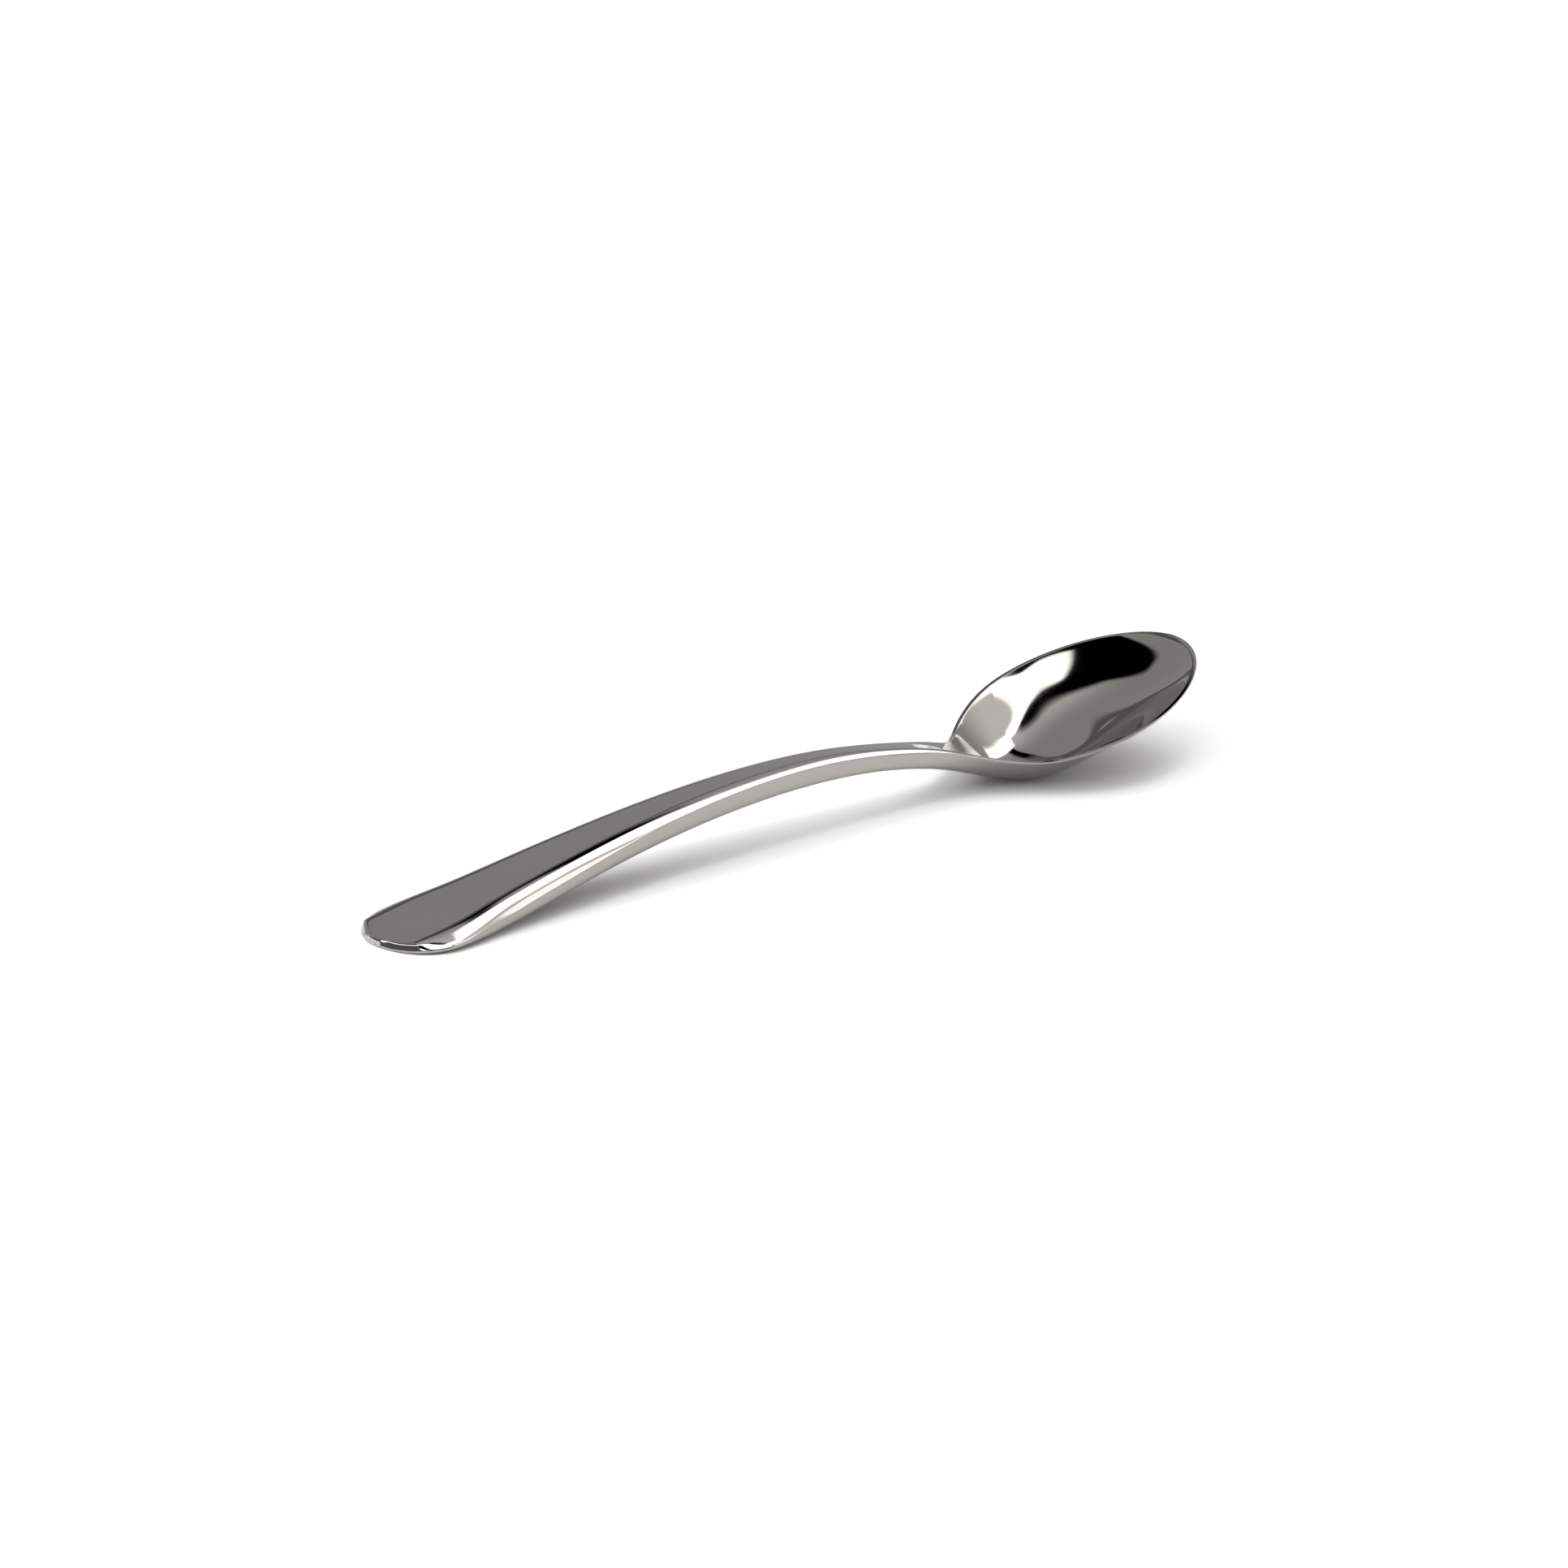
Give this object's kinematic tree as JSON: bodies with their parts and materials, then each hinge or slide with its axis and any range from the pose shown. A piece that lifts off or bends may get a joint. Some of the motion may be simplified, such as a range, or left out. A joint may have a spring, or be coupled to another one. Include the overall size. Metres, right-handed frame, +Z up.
{
  "type": "spoon",
  "caption": "Dessert spoon with an oval bowl and a low arched, flat-topped handle that widens to a round end, mirror-bright silver finish.",
  "frame": {"origin": "on the table the spoon lies on, under the middle of its length", "axes": "+X from the handle's end towards the bowl's tip, +Y across the spoon, +Z up from the table"},
  "size_m": [0.1652, 0.0368, 0.0175],
  "materials": {
    "bright_silver": "mirror-bright thin metal coat over moulded plastic"
  },
  "bodies": {
    "root": {"spoon": "bright_silver"}
  },
  "joints": []
}
